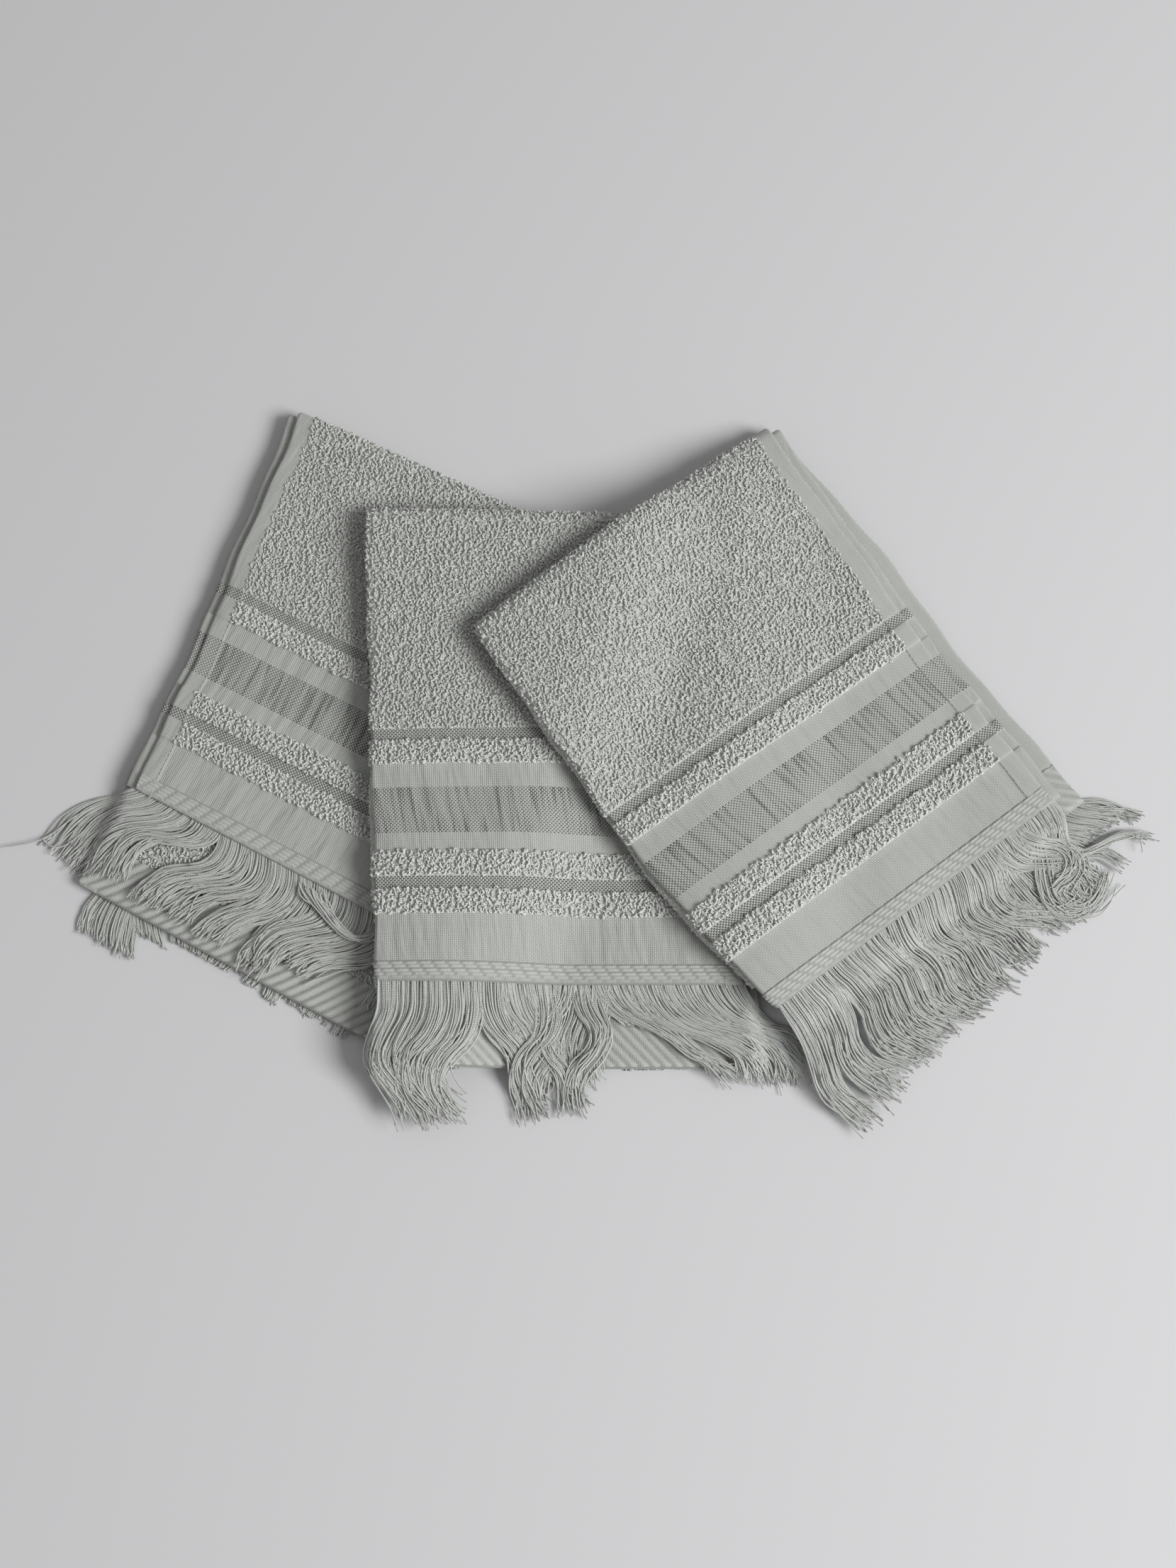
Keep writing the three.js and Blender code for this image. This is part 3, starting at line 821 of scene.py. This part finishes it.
RIGHT_LOCKS = (
    lock(0.00, 0.08, 82, (36, 40, 20, 14, 52, 46), (1, 1, 0.9, 1)),
    lock(0.07, 0.17, 78, (38, 50, 26, 8, 38, 62, 50), (1, 1, 1, 1), 0.6),
    lock(0.16, 0.27, 74, (34, 56, 44, 12, 30, 70, 64), (1, 1, 1, 1)),
    lock(0.26, 0.38, 72, (26, 50, 60, 18, 22, 66, 74), (1, 1, 1, 1), 0.6),
    lock(0.37, 0.48, 70, (20, 24, 62, 40, 14, 56, 80), (1, 1, 1, 1), 0.1),
    lock(0.47, 0.59, 70, (30, 10, 40, 72, 30, 30, 66), (1, 1, 1, 1), 0.6),
    lock(0.58, 0.69, 68, (36, 14, 22, 64, 72, 40, 60), (1, 1, 1, 1), 0.1),
    lock(0.68, 0.78, 68, (36, 30, 14, 48, 88, 84, 60), (1, 1, 0.9, 1), 1.0),
    lock(0.76, 0.85, 64, (30, 56, 94, 84, 36, 54), (1, 1, 0.9, 1), 2.0),
    lock(0.83, 0.89, 60, (28, 66, 96, 52, -30, -60), (1, 1, 0.9, 1), 3.0),
    lock(0.79, 0.90, 50, (38, 30, 44, 70, 60), (1, 1, 1, 1), 0.4),
    lock(0.72, 0.81, 48, (37, 38, 38, 48), (1, 1, 1, 1.1), 0.2),
    lock(0.85, 0.96, 46, (38, 34, 44, 60), (1, 1, 1, 1.1), 0.2),
    lock(0.87, 0.95, 90, (38, 20, 4, 12, 74, 142, 172), (1, 1, 0.9, 0.9), 2.0),
    lock(0.93, 1.00, 66, (44, 24, 6, -6, 20, 60, 76), (1, 1.1, 1.1, 1.6), 1.2),
    lock(0.955, 0.985, 78, (40, 30, 20, 110, 122, 100, 60), (1, 0.8, 0.6, 1.2), 2.6, 14),
    lock(0.97, 1.00, 62, (40, 26, 10, 50, 108, 66, 50), (1, 1, 1, 1.8), 2.2, 12),
)


def tufts(start, end, count, length, heading):
    """A row of short locks that stick out a little, of uneven widths, lengths and headings."""
    draw = np.random.default_rng(count)
    edges = np.sort(draw.uniform(start, end, count + 1))
    long = length * draw.uniform(0.55, 1.6, count)
    lean = heading + draw.normal(0, 14, (count, 2))
    return tuple(map(lock, edges[:-1], edges[1:], long, lean))


LEFT_TUCKED = (
    lock(0.02, 0.15, 27, (-32, -16, 0), (1, 1.3, 1.4), 1.0, 90),
    lock(0.13, 0.22, 15, (-20, 10, 20), (1, 1.2), 0, 30),
    *tufts(0.2, 0.95, 14, 6.5, -26),
)
MIDDLE_TUCKED = tufts(0.02, 0.98, 16, 3.5, 4)
RIGHT_TUCKED = (
    *tufts(0.02, 0.9, 12, 6, 42),
    lock(0.90, 1.06, 30, (58, 72, 84, 70), (1, 1.1, 1.2), 2.0, 90),
    lock(1.02, 1.06, 40, (100, 92, 62, 74), (1, 0.9, 0.9), 1.0, 16),
)


def add_fringe(towel, locks):
    """The fringe below the header, rooted under its cord."""
    root_t, root_z = towel.upper_end - 1.5 * MM, 12 * MM
    add_yarns(towel, "fringe_yarns", locks, YARN_STEPS, root_t, root_z, under_fringe(towel))


def add_tucked_fringe(towel, locks):
    """The fringe at the lower end, combed in under the ribbed border."""
    root_t, root_z = towel.lower_end - 4 * MM, 1.6 * MM
    add_yarns(towel, "tucked_yarns", locks, TUCKED_STEPS, root_t, root_z, under_towel(towel))


# ---------------------------------------------------------------- materials
class Socket:
    """An output of a shader node that arithmetic works on: each operation adds a Math node."""

    def __init__(self, tree, socket):
        self.tree, self.socket = tree, socket

    def math(self, operation, *values):
        """The Math node's result for some values, each a number or a Socket."""
        inputs = dict(enumerate(values))
        return self.tree.node("Math", {"operation": operation}, inputs)

    def wave(self, operation):
        """The Math node's result for this value alone."""
        return self.math(operation, self)

    def __add__(self, other):
        return self.math("ADD", self, other)

    def __sub__(self, other):
        return self.math("SUBTRACT", self, other)

    def __mul__(self, other):
        return self.math("MULTIPLY", self, other)

    def __rsub__(self, other):
        return self.math("SUBTRACT", other, self)

    __radd__, __rmul__ = __add__, __mul__


class Tree:
    """A material's node tree, with one method that adds a node and connects its inputs."""

    def __init__(self, name):
        self.material = bpy.data.materials.new(name)
        self.material.use_nodes = True
        self.nodes = self.material.node_tree.nodes
        self.links = self.material.node_tree.links
        self.shader = self.nodes["Principled BSDF"]

    def node(self, kind, settings=None, inputs=None, output=0):
        """One output of a new node, whose inputs are numbers or Sockets."""
        made = self.nodes.new("ShaderNode" + kind)
        for key, value in (settings or {}).items():
            setattr(made, key, value)
        for key, value in (inputs or {}).items():
            self.join(made.inputs[key], value)
        return Socket(self, made.outputs[output])

    def join(self, entry, value):
        """Connects a Socket to a node's input, or sets the input to a plain value."""
        if isinstance(value, Socket):
            self.links.new(value.socket, entry)
        else:
            entry.default_value = value

    def uv(self):
        """The piece's own UV map, as (u, v)."""
        parts = self.node("SeparateXYZ", None, {0: self.node("UVMap", {"uv_map": "cloth"})})
        return parts, Socket(self, parts.socket.node.outputs[1])

    def position(self):
        """The place in the piece's own frame."""
        return self.node("TexCoord", output="Object")

    def mix(self, share, first, second):
        """The colour between two others."""
        inputs = {0: share, 6: first, 7: second}
        return self.node("Mix", {"data_type": "RGBA"}, inputs, output=2)

    def range(self, value, from_low, from_high, low, high):
        """A value stretched from one range to another."""
        return self.node("MapRange", None, {0: value, 1: from_low, 2: from_high, 3: low, 4: high})

    def noise(self, vector, scale, detail):
        """Cloudy noise, from 0 to 1."""
        settings = {"noise_dimensions": "3D"}
        inputs = {"Vector": vector, "Scale": scale, "Detail": detail}
        return self.node("TexNoise", settings, inputs)

    def bump(self, height, distance, strength=1.0):
        """The normal of a surface that a height raises by up to a distance."""
        inputs = {"Height": height, "Distance": distance, "Strength": strength}
        return self.node("Bump", None, inputs)

    def cloth(self, colour, normal, see_through=0.0):
        """Sets the shader to matte cotton and returns the material."""
        scattering = {"Weight": see_through, "Radius": (1, 1, 1), "Scale": 1 * MM}
        settings = {
            "Base Color": colour,
            "Normal": normal,
            "Roughness": 0.92,
            "Sheen Weight": 0.25,
            "Sheen Roughness": 0.6,
            "Specular IOR Level": 0.25,
            **{f"Subsurface {key}": value for key, value in scattering.items()},
        }
        for key, value in settings.items():
            self.join(self.shader.inputs[key], value)
        return self.material


def grey(level):
    """A sage grey of that sRGB level, from 0 to 255, as a linear colour."""
    channels = (level - 1, level + 1, level - 4)
    return (*((max(c, 0) / 255) ** 2.2 for c in channels), 1)


def yarn_material(name, dark, light, twist):
    """Twisted cotton yarn: its two plies run round it as slanting ridges, and each yarn or loop has
    a lightness of its own between dark and light, from its colour value; the ribs' loops are given
    the lighter values as painted light."""
    tree = Tree(name)
    tone = tree.node("Attribute", {"attribute_name": "tone"}, output="Fac")
    u, v = tree.uv()
    ridges = (u * (4 * math.pi) + v * (2 * math.pi / twist)).wave("SINE")
    fibre = tree.noise(tree.position(), 900, 1)
    colour = tree.mix(tone * 0.6 + fibre * 0.4, dark, light)
    return tree.cloth(colour, tree.bump(ridges * 0.5 + fibre, 0.1 * MM), see_through=0.6)


def weave(tree, pitch_a, pitch_b):
    """A plain weave: its height, and how far the warp stands over the weft, from the UV.

    Warp threads run along v and weft threads along u. Each thread's section is |cos|, and the
    product of two cosines says which of the two is on top at a crossing.
    """
    u, v = tree.uv()
    across = (u * (math.pi / pitch_a)).wave("COSINE")
    down = (v * (math.pi / pitch_b)).wave("COSINE")
    over = across * down
    warp = across.wave("ABSOLUTE") * (over * 0.5 + 0.5)
    weft = down.wave("ABSOLUTE") * (0.5 - over * 0.5)
    return warp.math("MAXIMUM", warp, weft), warp - weft


def woven_material(name, warp, weft, pitch=(1.15, 1.05), depth=0.28, cover=0.0, slub=0.0):
    """Plain-woven cotton. cover shows more of the warp, and slub less of it, in uneven streaks
    that run along the towel. pitch and depth, of the threads, are in mm."""
    tree = Tree(name)
    height, stand = weave(tree, pitch[0] * MM, pitch[1] * MM)
    u, v = tree.uv()
    stretched = tree.node("CombineXYZ", None, {0: u * 330 + v * 25, 1: v * 22})
    streak = tree.range(tree.noise(stretched, 1, 4), 0.5, 0.68, 0, 1)
    fibre = tree.noise(tree.position(), 1100, 1)
    on_top = tree.range(stand + cover - streak * slub, -0.32, 0.32, 0.0, 1.0)
    colour = tree.mix(on_top, weft, warp)
    # Painted shade: the colour darkens towards grey(60) where the threads are low, in the gaps
    # between them, with a little random fibre darkening.
    painted_gap_shade = tree.range(height, 0.15, 0.75, 0.4, 0)
    colour = tree.mix(painted_gap_shade + fibre * 0.1, colour, grey(60))
    pucker = tree.noise(tree.node("CombineXYZ", None, {0: u * 130 + v * 20, 1: v * 28}), 1, 2)
    return tree.cloth(colour, tree.bump(height + fibre * 0.2 + pucker * 8, depth * MM))


def terry_material(name):
    """The ground between the loops, and the pile where its loops aren't modelled: rounded cells,
    darker at their edges as painted shade in the hollows between them.
    """
    tree = Tree(name)
    cells = tree.node("TexVoronoi", None, {"Vector": tree.position(), "Scale": 520.0})
    high = tree.range(cells, 0, 0.8, 1, 0)
    # Painted shade: the cells' edges are darker (grey(165)) than their middles (grey(200)).
    colour = tree.mix(high, grey(165), grey(200))
    return tree.cloth(colour, tree.bump(high, 1.0 * MM, 0.8))


def header_material(name):
    """The header's threads: a fine weave, with painted light on the threads' tops and on the raised
    ribs and cord, and painted shade in the hollows and grooves between them.
    """
    tree = Tree(name)
    height, _ = weave(tree, 0.95 * MM, 0.8 * MM)
    fibre = tree.noise(tree.position(), 1000, 1)
    raised = tree.node("Attribute", {"attribute_name": "tone"}, output="Fac")
    # Painted light and shade: lighter on the weave's high threads and on the raised crests that the
    # colour value gives, darker in the hollows; the fibre noise is random.
    colour = tree.mix(height * 0.2 + fibre * 0.15 + raised * 0.65, grey(136), grey(190))
    return tree.cloth(colour, tree.bump(height + fibre * 0.3, 0.2 * MM))


def all_materials():
    """Every material by its name."""
    light, dark, even = grey(192), grey(70), (1.05, 1.05)
    slub = {"pitch": even, "cover": 0.4, "slub": 0.8}
    return {
        "terry": terry_material("terry"),
        "pile_yarn": yarn_material("pile_yarn", grey(180), grey(218), 1.6 * MM),
        "plain_weave": woven_material("plain_weave", light, grey(182)),
        "dark_weave": woven_material("dark_weave", light, dark, even, cover=0.2),
        "slub_weave": woven_material("slub_weave", light, grey(84), **slub),
        "header_weave": header_material("header_weave"),
        "hem_weave": woven_material("hem_weave", light, grey(180), (0.9, 0.9), 0.2),
        "fringe_yarn": yarn_material("fringe_yarn", grey(166), grey(194), 1.3 * MM),
        "stitch_thread": yarn_material("stitch_thread", grey(166), grey(180), 0.9 * MM),
    }


MATERIALS = all_materials()


def finish(obj, towel, materials):
    """Gives a piece its materials, its place among the towels and its slot in the record."""
    for name in materials:
        obj.data.materials.append(MATERIALS[name])
    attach(obj, towel.body)
    towel.pieces.append(obj)


# ---------------------------------------------------------------- the set
EDGE_NODES = ("outer_side_hem", "inner_side_hem", "ribbed_border", "tucked_fringe", "fringe")
SOFT_NODES = ("terry_field", *(band for band, _, _ in BANDS), *EDGE_NODES)


def add_towel(towel, locks, tucked):
    """All of a towel's pieces, which together replace its CAD solids."""
    towel.pieces = []
    cloth = add_cloth(towel)
    add_hem(towel, "outer_hem", 0, HEM_WIDTH)
    add_hem(towel, "inner_hem", CLOTH_WIDTH - HEM_WIDTH, CLOTH_WIDTH)
    add_stitching(towel)
    add_pile(towel)
    add_header(towel)
    add_border(towel)
    add_fringe(towel, locks)
    add_tucked_fringe(towel, tucked)
    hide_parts(*(f"{towel.name}_{node}" for node in SOFT_NODES))


add_towel(LEFT, LEFT_LOCKS, LEFT_TUCKED)
add_towel(MIDDLE, MIDDLE_LOCKS, MIDDLE_TUCKED)
add_towel(RIGHT, RIGHT_LOCKS, RIGHT_TUCKED)


# ---------------------------------------------------------------- table, light and camera
def add_table():
    """A pale, matte table that fills the view."""
    mesh = bpy.data.meshes.new("table")
    half = 3.0
    corners = [(-half, -half, 0), (half, -half, 0), (half, half, 0), (-half, half, 0)]
    mesh.from_pydata(corners, [], [(0, 1, 2, 3)])
    tree = Tree("table")
    tree.shader.inputs["Base Color"].default_value = (0.59, 0.59, 0.6, 1)
    tree.shader.inputs["Roughness"].default_value = 0.9
    mesh.materials.append(tree.material)
    new_object("table", mesh)


def aim(obj, where, target):
    """Puts a light or a camera somewhere and turns it to look at its target."""
    obj.location = where
    way = Vector(target) - Vector(where)
    obj.rotation_euler = way.to_track_quat("-Z", "Y").to_euler()


def add_light(name, where, target, size, power):
    """A round soft light, its size in metres and its power in watts."""
    light = bpy.data.lights.new(name, "AREA")
    light.shape = "DISK"
    light.size = size
    light.energy = power
    aim(new_object(name, light), where, target)


def add_world(level):
    """Even white light from all round."""
    world = bpy.data.worlds.new("studio")
    world.use_nodes = True
    background = world.node_tree.nodes["Background"]
    background.inputs["Color"].default_value = (1, 1, 1, 1)
    background.inputs["Strength"].default_value = level
    bpy.context.scene.world = world


def add_camera():
    """A camera that looks down on the towels from a little in front of them."""
    data = bpy.data.cameras.new("camera")
    data.lens = 50
    data.sensor_width = 36
    camera = new_object("camera", data)
    target = Vector((-0.0131, -0.0125, 0))
    elevation, distance = math.radians(76), 1.26
    back = Vector((0, -math.cos(elevation), math.sin(elevation)))
    aim(camera, target + back * distance, target)
    bpy.context.scene.camera = camera


add_table()
add_light("key", where=(2.4, -1.0, 2.35), target=(0, 0, 0), size=1.8, power=128)
add_world(0.33)
add_camera()
bpy.context.scene.view_settings.view_transform = "Standard"
